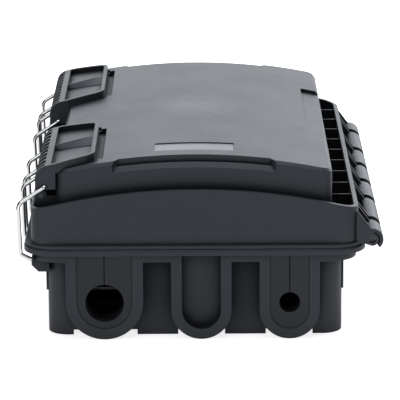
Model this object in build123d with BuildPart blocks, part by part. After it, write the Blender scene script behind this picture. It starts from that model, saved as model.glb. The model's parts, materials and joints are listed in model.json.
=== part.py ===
from build123d import *
import math
import os

# Fibre distribution box lying on its back, in millimetres.
# X runs across the box from the latches to the hinge, Y runs along it from the
# cable ports to the far end, and Z is up, with zero where the back rests.

# Clearances
running_gap = 0.3
pin_play = 0.05
wall_seat = 0.15

# Base tub
band_length = 280.0
port_reach = 10.0
tub_width = 172.4
tub_length = band_length - 2 * port_reach
tub_corner = 12.0
wall = 2.6
foot_rim_height = 3.0
foot_rim_wall = 2.5
foot_rim_overlap = 3.8
floor_wall = 2.8
rim_underside = 46.5
flange_underside = 51.5
flange_top = 55.1
band_width = 188.6
band_corner = 17.0
flange_width = 199.0
flange_length = 289.0
flange_corner = 20.0
flange_round = 1.2
side_rib_inset = 12.0
side_rib_y = tub_length / 2 - side_rib_inset
side_rib_width = 3.0
side_rib_height = 17.0
side_rib_bottom = 24.5
side_rib_depth = 1.0

# Cable ports, moulded in a row on the near end
port_gap = 16.3
port_row_shift = -1.2
large_boss_width = 45.0
small_boss_width = 35.0
large_grommet_width = 31.9
small_grommet_width = 22.7
large_hole_radius = 11.2
small_hole_radius = 6.1
hole_height = 21.9
blank_recess_depth = 6.0
grommet_slit = 0.5
grommet_collar = 2.5
grommet_collar_thickness = 3.0
grommet_face_inset = 0.4

# Gasket between base and lid
gasket_width = 3.0
gasket_height = 2.0
gasket_inset = 3.5

# Lid
lid_flange_thickness = 2.0
lid_flange_inset = 0.8
lid_deck_thickness = 2.5
skirt_width = 190.0
skirt_length = 282.0
skirt_corner = 11.5
skirt_wall = 2.6
skirt_side_top = 77.7
skirt_arch_rise = 12.2
panel_width = 159.6
panel_length = 268.6
panel_corner = 7.0
panel_side_top = 99.4
panel_rise = 8.7
panel_wall = 2.6
panel_bevel = 1.8
moat_rib_count = 9
moat_rib_thickness = 1.2
moat_rib_drop = 0.3
moat_rib_pitch = 27.8
moat_rib_shift = 8.0
left_rib_top = 70.0

# Details of the raised panel
notch_half_width = 43.8
notch_slant = 4.2
notch_setback = 5.3
notch_step = 3.8
notch_ledge_bevel = 2.8
notch_groove_width = 1.4
notch_groove_depth = 1.0
label_length = 46.4
label_width = 18.5
label_depth = 0.5
label_centre_y = -108.0
wedge_width = 11.5
wedge_far_y = 75.0
wedge_near_y = -62.0
wedge_depth = 2.2

# Latches along the left side
latch_offset = 83.8
latch_half_length = 48.4
lever_shoulder_x = -92.0
lever_tip_x = -57.6
lever_tip_half_length = 41.6
lever_tip_corner = 8.0
lever_rise = 4.4
lever_seat_depth = 1.6
lever_seat_margin = 1.3
lever_cheek_thickness = 2.4
lever_bottom = 88.3
lever_shoulder_radius = 8.5
lever_skin = 2.9
lever_rim = 2.4
lever_bar_x = -84.5
lever_bar_width = 3.6
pocket_depth = 3.4
pocket_corner = 5.0
wedge_rib_root = 2.6
wedge_rib_tip = 12.0
wedge_rib_drop = 0.2
wedge_crest_width = 0.8
wedge_foot_step = 0.4
shoulder_rib_pitch = 9.0
shoulder_rib_thickness = 2.4
shoulder_rib_count = 10
finger_slot_width = 4.6
finger_slot_length = 76.0
finger_slot_depth = 3.2
lever_pivot_x = -88.8
lever_pivot_z = 83.8
lever_pin_radius = 1.5
lever_knuckle_radius = 3.5
latch_lug_thickness = 3.0
latch_lug_play = 0.6

# Wire bails
wire_radius = 1.25
wire_bend = 5.5
wire_eye_bend = 1.5
wire_foot_bend = 2.2
wire_bar_bend = 2.2
bail_eye_x = -86.2
bail_eye_z = 90.3
bail_elbow_x = -102.0
bail_elbow_z = 80.2
bail_foot_x = -101.1
bail_foot_z = 50.2
bail_bar_x = -94.4
bail_bar_z = 46.8
bail_inner_leg = 9.0

# Catches under the base flange
catch_bottom = 38.0
catch_reach = 9.0
catch_round = 4.0
catch_length = 30.0
catch_play = 1.6

# Hinge along the right side
hinge_x = 103.0
hinge_z = 58.4
hinge_pin_radius = 2.0
hinge_pin_recess = 1.5
hinge_shell_radius = 6.5
hinge_shell_wall = 2.0
hinge_lug_width = 8.0
hinge_lug_gap = 0.3
hinge_lug_centres = (20.8, 61.3, 111.5)
hinge_half_length = 136.0
hinge_lug_radius = 4.0
hinge_plate = 1.8
hinge_lobe_radius = 3.8
hinge_plate_top = 74.7
hinge_tip_angle = -48.0
hinge_start_angle = 112.0
hinge_notch_radius = 1.4

# Fittings inside
fixing_hole_radius = 2.6
fixing_x = 150.0
fixing_inset = 12.0
fixing_y = tub_length - 2 * fixing_inset
boss_radius = 4.5
boss_height = 8.0
plate_thickness = 1.5
tray_length = 150.0
plate_width = 156.0
plate_margin = 23.0
plate_length = tray_length + 2 * plate_margin
screw_side_inset = 7.0
screw_end_inset = 23.0
boss_x = plate_width - 2 * screw_side_inset
boss_y = plate_length - 2 * screw_end_inset
plate_corner = 6.0
plate_y = 14.0
screw_radius = 1.6
screw_head_radius = 3.2
screw_head_height = 2.2
screw_length = 5.0
tray_width = 104.0
tray_corner = 18.0
tray_height = 13.0
tray_wall = 1.6
tray_floor = 1.6
tray_x = -22.0
tray_y = 16.0
hub_radius = 19.0
hub_height = 9.0
hub_offset = 48.0
cover_thickness = 1.2
comb_length = 24.0
comb_slots = 12
comb_pitch = 3.4
comb_base = 1.2
comb_tooth = 0.9
comb_tooth_height = 4.0
sleeve_radius = 1.15
sleeve_length = 34.0
splitter_length = 60.0
splitter_width = 12.0
splitter_height = 4.0
splitter_gap = 4.0
adapter_count = 8
adapter_pitch = 14.0
adapter_width = 12.4
adapter_height = 9.4
adapter_length = 27.0
adapter_x = 55.0
adapter_lift = 4.0
adapter_collar = 0.6
adapter_collar_length = 1.4
bracket_wall = 1.5
bracket_height = 17.0
bracket_foot = 10.0
bracket_margin = 6.0
cap_length = 5.0
cap_radius = 3.6
socket_radius = 2.6
socket_depth = 11.0
clamp_y = -104.0
clamp_depth = 12.0
clamp_wall = 2.4
clamp_foot = 8.0
clamp_bite = 1.0


def section(y):
    """A plane across the box at y, drawn in X and Z, whose extrusions go towards the ports."""
    return Plane(origin=(0, y, 0), x_dir=(1, 0, 0), z_dir=(0, -1, 0))


def arch_height(x, half_width, side_top, rise):
    """Height at x of a top that rises by rise in one arc over half_width."""
    radius = (half_width ** 2 + rise ** 2) / (2 * rise)
    return side_top + rise - radius + math.sqrt(radius ** 2 - x ** 2)


def panel_height(x):
    """Height of the raised panel at x."""
    return arch_height(x, panel_half, panel_side_top, panel_rise)


def above_arch(half_width, side_top, rise, drop):
    """Face, in X and Z, of all that is above an arch lowered by drop, as wide as the flange."""
    reach = flange_width / 2
    side = arch_height(reach, half_width, side_top, rise) - drop
    with BuildSketch() as shape:
        with BuildLine():
            ThreePointArc((-reach, side), (0, side_top + rise - drop), (reach, side))
            Polyline((reach, side), (reach, sky), (-reach, sky), (-reach, side))
        make_face()
    return shape.sketch


def above_panel(drop):
    """Face, in X and Z, of all that is above the panel's arch lowered by drop."""
    return above_arch(panel_half, panel_side_top, panel_rise, drop)


def u_shape(x, width, centre_z, top):
    """Face, in X and Z, of a slot that is open to its top, with a full round bottom."""
    radius = width / 2
    with BuildSketch() as shape:
        with BuildLine():
            ThreePointArc((x - radius, centre_z), (x, centre_z - radius), (x + radius, centre_z))
            Polyline((x + radius, centre_z), (x + radius, top), (x - radius, top), (x - radius, centre_z))
        make_face()
    return shape.sketch


def sector(x, z, outer, inner, first, last):
    """Face, in X and Z, of a ring sector between two angles."""
    def at(radius, angle):
        return (x + radius * math.cos(math.radians(angle)), z + radius * math.sin(math.radians(angle)))

    middle = (first + last) / 2
    with BuildSketch() as shape:
        with BuildLine():
            ThreePointArc(at(outer, first), at(outer, middle), at(outer, last))
            Line(at(outer, last), at(inner, last))
            ThreePointArc(at(inner, last), at(inner, middle), at(inner, first))
            Line(at(inner, first), at(outer, first))
        make_face()
    return shape.sketch


def under_arch(outline, drop):
    """Block over an outline in X and Y, from the panel's arch lowered by drop up to the sky."""
    with BuildPart() as block:
        with BuildSketch(Plane.XY.offset(lid_flange_top)):
            add(outline)
        extrude(amount=sky - lid_flange_top)
        with BuildSketch(section(0)):
            add(above_panel(drop))
        extrude(amount=panel_length, both=True, mode=Mode.INTERSECT)
    return block.part


def below_arch(outline, drop):
    """Block over an outline in X and Y, from the lid's underside to the panel's arch lowered by drop."""
    with BuildPart() as block:
        with BuildSketch(Plane.XY.offset(lid_underside)):
            add(outline)
        extrude(amount=sky)
        with BuildSketch(section(0)):
            add(above_panel(drop))
        extrude(amount=panel_length, both=True, mode=Mode.SUBTRACT)
    return block.part


def lever_outline(latch_y, margin):
    """Outline of a latch lever in X and Y, with square corners at its tip."""
    shoulder = latch_half_length + margin
    tip = lever_tip_half_length + margin
    with BuildSketch() as shape:
        Polygon((lever_shoulder_x, latch_y - shoulder), (-panel_half, latch_y - shoulder),
                (lever_tip_x + margin, latch_y - tip), (lever_tip_x + margin, latch_y + tip),
                (-panel_half, latch_y + shoulder), (lever_shoulder_x, latch_y + shoulder), align=None)
    return shape.sketch


def ring(inset, width):
    """Rounded ring that follows the rim band, with its middle at inset from the band's edge."""
    with BuildSketch() as shape:
        RectangleRounded(band_width - 2 * inset + width, band_length - 2 * inset + width,
                         band_corner - inset + width / 2)
        RectangleRounded(band_width - 2 * inset - width, band_length - 2 * inset - width,
                         band_corner - inset - width / 2, mode=Mode.SUBTRACT)
    return shape.sketch


# Levels and places that follow from the sizes above
sky = 2 * panel_side_top
lid_underside = flange_top + running_gap
lid_flange_top = lid_underside + lid_flange_thickness
deck_top = lid_flange_top + lid_deck_thickness
floor_top = foot_rim_height + floor_wall
boss_face = band_length / 2
inner_wall_face = tub_length / 2 - wall
skirt_inner_x = skirt_width / 2 - skirt_wall
panel_half = panel_width / 2
panel_end = panel_length / 2
grommet_top = flange_top - gasket_height
plate_bottom = floor_top + boss_height
plate_top = plate_bottom + plate_thickness
tray_top = plate_top + tray_height
screw_hole = screw_radius + pin_play

# The ports, from the latch side
row_start = port_row_shift - (large_boss_width + 2 * small_boss_width + 2 * port_gap) / 2
large_port_x = row_start + large_boss_width / 2
blank_port_x = large_port_x + large_boss_width / 2 + port_gap + small_boss_width / 2
small_port_x = blank_port_x + small_boss_width + port_gap
bosses = ((large_port_x, large_boss_width), (blank_port_x, small_boss_width),
          (small_port_x, small_boss_width))
large_port = (large_port_x, large_boss_width, large_grommet_width, large_hole_radius)
small_port = (small_port_x, small_boss_width, small_grommet_width, small_hole_radius)

# Hinge lugs of the base stand in the gaps between the shells of the lid
lug_centres = [-c for c in reversed(hinge_lug_centres)] + list(hinge_lug_centres)
half_gap = hinge_lug_width / 2 + hinge_lug_gap
shells = list(zip([-hinge_half_length] + [c + half_gap for c in lug_centres],
                  [c - half_gap for c in lug_centres] + [hinge_half_length]))

# Latches: rib places along the lever, knuckles on two pairs of ribs, lugs of the lid beside them
latch_centres = (-latch_offset, latch_offset)
rib_offsets = [(k - (shoulder_rib_count - 1) / 2) * shoulder_rib_pitch for k in range(shoulder_rib_count)]
outer_knuckle = rib_offsets[-1]
inner_knuckle = rib_offsets[-3]
lug_step = (shoulder_rib_thickness + latch_lug_thickness) / 2 + latch_lug_play
lug_offsets = (outer_knuckle + lug_step, inner_knuckle - lug_step)
outer_leg = latch_half_length + running_gap + wire_radius
eye_rib = rib_offsets[-4]

# Base shell: tub, rim band, flange, ports, catches and hinge lugs in one moulding
with BuildPart() as base_shell:
    with BuildSketch(Plane.XY.offset(foot_rim_height)):
        RectangleRounded(tub_width, tub_length, tub_corner)
    extrude(amount=flange_underside - foot_rim_height)
    with BuildSketch(Plane.XY):
        RectangleRounded(tub_width, tub_length, tub_corner)
        RectangleRounded(tub_width - 2 * foot_rim_wall, tub_length - 2 * foot_rim_wall,
                         tub_corner - foot_rim_wall, mode=Mode.SUBTRACT)
    extrude(amount=foot_rim_height)
    with BuildSketch(Plane.XY.offset(rim_underside)):
        RectangleRounded(band_width, band_length, band_corner)
    extrude(amount=flange_underside - rim_underside)
    with BuildSketch(Plane.XY.offset(flange_underside)):
        RectangleRounded(flange_width, flange_length, flange_corner)
    extrude(amount=flange_top - flange_underside)
    fillet(faces().sort_by(Axis.Z)[-1].outer_wire().edges(), flange_round)
    # The foot rim is broken under the round bottom of each boss
    with BuildSketch():
        for port_x, boss_width in bosses:
            with Locations((port_x, -tub_length / 2)):
                Rectangle(boss_width - 2 * foot_rim_overlap, 2 * foot_rim_wall)
    extrude(amount=foot_rim_height, mode=Mode.SUBTRACT)
    for port_x, boss_width in bosses:
        with BuildSketch(section(-boss_face)):
            add(u_shape(port_x, boss_width, boss_width / 2, flange_underside))
        extrude(amount=-(boss_face - inner_wall_face))
    # Ribs on both side walls near the ends
    side_rib_places = [(side * tub_width / 2, end * side_rib_y, side_rib_bottom)
                       for side in (-1, 1) for end in (-1, 1)]
    with Locations(*side_rib_places):
        Box(2 * side_rib_depth, side_rib_width, side_rib_height,
            align=(Align.CENTER, Align.CENTER, Align.MIN))
    # Catches for the bails: lugs under the flange, with a groove for the wire above them
    catch_x = -tub_width / 2 - catch_reach
    for latch_y in latch_centres:
        for leg_side in (-1, 1):
            with BuildSketch(section(latch_y + leg_side * (outer_leg + bail_inner_leg) / 2)):
                Polygon((-tub_width / 2 + wall / 2, catch_bottom), (catch_x + catch_round, catch_bottom),
                        (catch_x, catch_bottom + catch_round), (catch_x, rim_underside),
                        (-tub_width / 2 + wall / 2, rim_underside), align=None)
            extrude(amount=catch_length / 2, both=True)
    with Locations(*[(bail_bar_x, latch_y, bail_bar_z - wire_radius - running_gap)
                     for latch_y in latch_centres]):
        Box(2 * (wire_radius + 2 * running_gap), 2 * (outer_leg + 2 * wire_radius),
            2 * wire_radius + running_gap + catch_play, align=(Align.CENTER, Align.CENTER, Align.MIN),
            mode=Mode.SUBTRACT)
    # Pockets in the flange for the shells of the lid, and the hinge lugs between them
    for start, end in shells:
        with BuildSketch(section((start + end) / 2)):
            with Locations((hinge_x, hinge_z)):
                Circle(hinge_shell_radius + running_gap)
        extrude(amount=(end - start) / 2 + hinge_lug_gap / 2, both=True, mode=Mode.SUBTRACT)
    for lug_y in lug_centres:
        with BuildSketch(section(lug_y)):
            with Locations((hinge_x, hinge_z)):
                Circle(hinge_lug_radius)
            Polygon((band_width / 2, flange_underside), (flange_width / 2, flange_underside),
                    (hinge_x + hinge_lug_radius * math.sin(math.radians(45)),
                     hinge_z - hinge_lug_radius * math.cos(math.radians(45))),
                    (hinge_x, hinge_z),
                    (hinge_x - hinge_lug_radius * math.cos(math.radians(20)),
                     hinge_z - hinge_lug_radius * math.sin(math.radians(20))),
                    (flange_width / 2 - running_gap, flange_top), (band_width / 2, flange_top),
                    align=None)
            with Locations((hinge_x, hinge_z)):
                Circle(hinge_pin_radius + pin_play, mode=Mode.SUBTRACT)
        extrude(amount=hinge_lug_width / 2, both=True)
    # Inside of the tub, the slots for the grommets and the recess of the blank port
    with BuildSketch(Plane.XY.offset(floor_top)):
        RectangleRounded(tub_width - 2 * wall, tub_length - 2 * wall, tub_corner - wall)
    extrude(amount=sky, mode=Mode.SUBTRACT)
    for port_x, boss_width, grommet_width, hole_radius in (large_port, small_port):
        with BuildSketch(section(-boss_face)):
            add(u_shape(port_x, grommet_width + 2 * wall_seat, boss_width / 2, sky))
        extrude(amount=-(boss_face - inner_wall_face), mode=Mode.SUBTRACT)
    with BuildSketch(section(-boss_face)):
        add(u_shape(blank_port_x, small_grommet_width, small_boss_width / 2, flange_underside))
    extrude(amount=-blank_recess_depth, mode=Mode.SUBTRACT)
    # Groove for the gasket
    with BuildSketch(Plane.XY.offset(flange_top - gasket_height)):
        add(ring(gasket_inset, gasket_width))
    extrude(amount=gasket_height, mode=Mode.SUBTRACT)
    # Bosses for the mounting plate, seats for the cable clamps, and their screw holes
    with BuildSketch(Plane.XY.offset(floor_top)):
        with Locations((0, plate_y)):
            with GridLocations(boss_x, boss_y, 2, 2):
                Circle(boss_radius)
    extrude(amount=boss_height)
    with BuildSketch(Plane.XY.offset(plate_bottom)):
        with Locations((0, plate_y)):
            with GridLocations(boss_x, boss_y, 2, 2):
                Circle(screw_hole)
    extrude(amount=-boss_height, mode=Mode.SUBTRACT)
    for port_x, boss_width, grommet_width, hole_radius in (large_port, small_port):
        seat_top = hole_height - hole_radius + clamp_bite
        clamp_half = hole_radius + running_gap + clamp_wall
        with BuildSketch(section(clamp_y)):
            with Locations((port_x, (floor_top + seat_top) / 2)):
                Rectangle(2 * (clamp_half + clamp_foot), seat_top - floor_top)
            with Locations((port_x, hole_height)):
                Circle(hole_radius + running_gap, mode=Mode.SUBTRACT)
        extrude(amount=clamp_depth / 2, both=True)
        with BuildSketch(Plane.XY.offset(seat_top)):
            with Locations((port_x, clamp_y)):
                with GridLocations(2 * clamp_half + clamp_foot, 1, 2, 1):
                    Circle(screw_hole)
        extrude(amount=-screw_length, mode=Mode.SUBTRACT)
    # Four holes that fix the box to a wall
    with BuildSketch():
        with GridLocations(fixing_x, fixing_y, 2, 2):
            Circle(fixing_hole_radius)
    extrude(amount=floor_top, mode=Mode.SUBTRACT)
base_shell.part.label = "base_shell"

# Raised panel of the lid before its details, arched across
with BuildPart() as panel_block:
    with BuildSketch(Plane.XY.offset(lid_flange_top)):
        RectangleRounded(panel_width, panel_length, panel_corner)
    extrude(amount=sky - lid_flange_top)
    with BuildSketch(section(0)):
        add(above_panel(0))
    extrude(amount=panel_length, both=True, mode=Mode.SUBTRACT)
    chamfer(faces().sort_by(Axis.Z)[-1].edges(), panel_bevel)

# Notch in the middle of both ends, down to a ledge with a bevelled edge
with BuildSketch() as notch_outline:
    for end in (-1, 1):
        Polygon((-notch_half_width, end * (panel_end - notch_setback)),
                (notch_half_width, end * (panel_end - notch_setback)),
                (notch_half_width + notch_slant, end * (panel_end + 1)),
                (-notch_half_width - notch_slant, end * (panel_end + 1)), align=None)
# Groove at the foot of the notch's wall
with BuildSketch() as groove_outline:
    with Locations(*[(0, end * (panel_end - notch_setback + notch_groove_width / 2)) for end in (-1, 1)]):
        Rectangle(2 * notch_half_width, notch_groove_width)

# Inside of the panel, deeper between the finger slots and the recess along the hinge side
deep_left = lever_tip_x + finger_slot_width + panel_wall
deep_right = panel_half - wedge_width - panel_wall
deep_end = panel_end - notch_setback - panel_wall
with BuildSketch() as hollow_outline:
    RectangleRounded(panel_width - 2 * panel_wall, panel_length - 2 * panel_wall, panel_corner - panel_wall)
with BuildSketch() as deep_outline:
    with Locations(((deep_left + deep_right) / 2, 0)):
        RectangleRounded(deep_right - deep_left, 2 * deep_end, panel_corner - panel_wall)
panel_hollow = below_arch(hollow_outline.sketch, panel_wall + notch_step)
deep_hollow = below_arch(deep_outline.sketch, panel_wall + label_depth)

seat_blocks = [under_arch(lever_outline(latch_y, lever_seat_margin), lever_seat_depth)
               for latch_y in latch_centres]
with BuildSketch() as slot_outline:
    for latch_y in latch_centres:
        with Locations((lever_tip_x + finger_slot_width / 2, latch_y)):
            Rectangle(finger_slot_width, finger_slot_length)
with BuildSketch() as label_outline:
    with Locations((0, label_centre_y)):
        Rectangle(label_length, label_width)
notch_block = under_arch(notch_outline.sketch, notch_step)
groove_block = under_arch(groove_outline.sketch, notch_step + notch_groove_depth)
slot_block = under_arch(slot_outline.sketch, finger_slot_depth)
label_block = under_arch(label_outline.sketch, label_depth)

# Recess along the hinge side that runs out towards the ports
with BuildPart() as wedge_block:
    for wedge_x in (panel_half - wedge_width, panel_half + 1):
        with BuildSketch(Plane.YZ.offset(wedge_x)):
            Polygon((wedge_near_y, panel_height(wedge_x)), (wedge_far_y, panel_height(wedge_x) - wedge_depth),
                    (wedge_far_y, sky), (wedge_near_y, sky), align=None)
    loft(ruled=True)

# Lid: flange, deck, skirt, ribs in the moat, raised panel, hinge shells and latch lugs
with BuildPart() as lid:
    with BuildSketch(Plane.XY.offset(lid_underside)):
        RectangleRounded(flange_width - 2 * lid_flange_inset, flange_length - 2 * lid_flange_inset,
                         flange_corner - lid_flange_inset)
    extrude(amount=lid_flange_thickness)
    fillet(faces().sort_by(Axis.Z)[-1].edges(), flange_round / 2)
    with BuildSketch(Plane.XY.offset(lid_flange_top)):
        RectangleRounded(skirt_width, skirt_length, skirt_corner)
    extrude(amount=sky - lid_flange_top)
    with BuildSketch(Plane.XY.offset(deck_top)):
        RectangleRounded(skirt_width - 2 * skirt_wall, skirt_length - 2 * skirt_wall,
                         skirt_corner - skirt_wall)
    extrude(amount=sky - deck_top, mode=Mode.SUBTRACT)
    # The skirt's top rises in one arc across both ends
    skirt_half = skirt_width / 2
    with BuildSketch(section(0)):
        add(above_arch(skirt_half, skirt_side_top, skirt_arch_rise, 0))
    extrude(amount=skirt_length, both=True, mode=Mode.SUBTRACT)
    # Ribs across the moat, low on the latch side
    for side, rib_top in ((1, skirt_side_top - moat_rib_drop), (-1, left_rib_top)):
        with BuildSketch(Plane.XY.offset(deck_top)):
            with Locations((side * (panel_half + skirt_inner_x) / 2, moat_rib_shift)):
                with GridLocations(1, moat_rib_pitch, 1, moat_rib_count):
                    Rectangle(skirt_inner_x - panel_half + panel_wall, moat_rib_thickness)
        extrude(amount=rib_top - deck_top)
    # Lugs that carry the pins of the latch levers
    for latch_y in latch_centres:
        for lug_y in [latch_y + side * offset for side in (-1, 1) for offset in lug_offsets]:
            with BuildSketch(section(lug_y)):
                with Locations((lever_pivot_x, lever_pivot_z)):
                    Circle(lever_knuckle_radius)
                Polygon((-skirt_inner_x - skirt_wall / 2, deck_top), (1 - panel_half, deck_top),
                        (1 - panel_half, lever_pivot_z), (lever_pivot_x - lever_knuckle_radius, lever_pivot_z),
                        (-skirt_inner_x - skirt_wall / 2, lever_pivot_z - 2 * lever_knuckle_radius),
                        align=None)
                with Locations((lever_pivot_x, lever_pivot_z)):
                    Circle(lever_pin_radius + pin_play, mode=Mode.SUBTRACT)
            extrude(amount=latch_lug_thickness / 2, both=True)
    # Hinge shells, open below, held by leaf-shaped plates at both ends of each
    for start, end in shells:
        with BuildSketch(section((start + end) / 2)):
            add(sector(hinge_x, hinge_z, hinge_shell_radius, hinge_shell_radius - hinge_shell_wall,
                       hinge_tip_angle, hinge_start_angle))
        extrude(amount=(end - start) / 2, both=True)
        for plate_centre in (start + hinge_plate / 2, end - hinge_plate / 2):
            with BuildSketch(section(plate_centre)):
                Polygon((skirt_half - skirt_wall / 2, lid_flange_top), (skirt_half - skirt_wall / 2, hinge_plate_top),
                        (skirt_half, hinge_plate_top), (hinge_x, hinge_z + hinge_shell_radius - hinge_shell_wall / 2),
                        (hinge_x + hinge_lobe_radius, hinge_z), (hinge_x, hinge_z - hinge_lobe_radius),
                        align=None)
                with Locations((hinge_x, hinge_z)):
                    Circle(hinge_lobe_radius)
                    Circle(hinge_pin_radius + pin_play, mode=Mode.SUBTRACT)
            extrude(amount=hinge_plate / 2, both=True)
    # Sight holes in every other shell
    with BuildSketch(Plane.XY.offset(hinge_z)):
        for start, end in shells[::2]:
            with Locations((hinge_x - hinge_lobe_radius / 2, (start + end) / 2 + end / 3 - start / 3)):
                Circle(hinge_notch_radius)
    extrude(amount=sky, mode=Mode.SUBTRACT)
    # The raised panel and its details
    add(panel_block.part)
    add(notch_block, mode=Mode.SUBTRACT)
    ledge_edges = [e for e in edges().filter_by(GeomType.CIRCLE)
                   if abs(abs(e.center().Y) - panel_end) < 0.01 and abs(e.center().X) < 1
                   and abs(e.center().Z - panel_height(0) + notch_step) < notch_step / 2]
    chamfer(ledge_edges, notch_ledge_bevel)
    add(groove_block, mode=Mode.SUBTRACT)
    for seat_block in seat_blocks:
        add(seat_block, mode=Mode.SUBTRACT)
    add(slot_block, mode=Mode.SUBTRACT)
    add(label_block, mode=Mode.SUBTRACT)
    add(wedge_block.part, mode=Mode.SUBTRACT)
    add(panel_hollow, mode=Mode.SUBTRACT)
    add(deep_hollow, mode=Mode.SUBTRACT)
lid.part.label = "lid"

# Gasket in its groove
with BuildPart() as sealing_gasket:
    with BuildSketch(Plane.XY.offset(flange_top - gasket_height)):
        add(ring(gasket_inset, gasket_width))
    extrude(amount=gasket_height)
sealing_gasket.part.label = "sealing_gasket"


def make_grommet(port_x, boss_width, grommet_width, hole_radius):
    """Split insert of a port: plate with a round bottom, collar inside, hole and slit."""
    with BuildPart() as grommet:
        with BuildSketch(section(-boss_face + grommet_face_inset)):
            add(u_shape(port_x, grommet_width, boss_width / 2, grommet_top))
        extrude(amount=-(boss_face - grommet_face_inset - inner_wall_face))
        with BuildSketch(section(-inner_wall_face)):
            add(u_shape(port_x, grommet_width + 2 * grommet_collar, boss_width / 2, grommet_top))
            with Locations((port_x, 0)):
                Rectangle(2 * boss_width, 2 * (floor_top + wall_seat), mode=Mode.SUBTRACT)
        extrude(amount=-grommet_collar_thickness)
        with BuildSketch(section(-boss_face)):
            with Locations((port_x, hole_height)):
                Circle(hole_radius)
            with Locations((port_x, hole_height + sky / 2)):
                Rectangle(grommet_slit, sky)
        extrude(amount=-2 * (boss_face - inner_wall_face), mode=Mode.SUBTRACT)
    return grommet.part


large_port_grommet = make_grommet(*large_port)
large_port_grommet.label = "large_port_grommet"
small_port_grommet = make_grommet(*small_port)
small_port_grommet.label = "small_port_grommet"

# Hinge pin, through the lugs of the base and the plates of the lid
with BuildPart() as hinge_pin:
    with BuildSketch(section(0)):
        with Locations((hinge_x, hinge_z)):
            Circle(hinge_pin_radius)
    extrude(amount=hinge_half_length - hinge_pin_recess, both=True)
hinge_pin.part.label = "hinge_pin"


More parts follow.
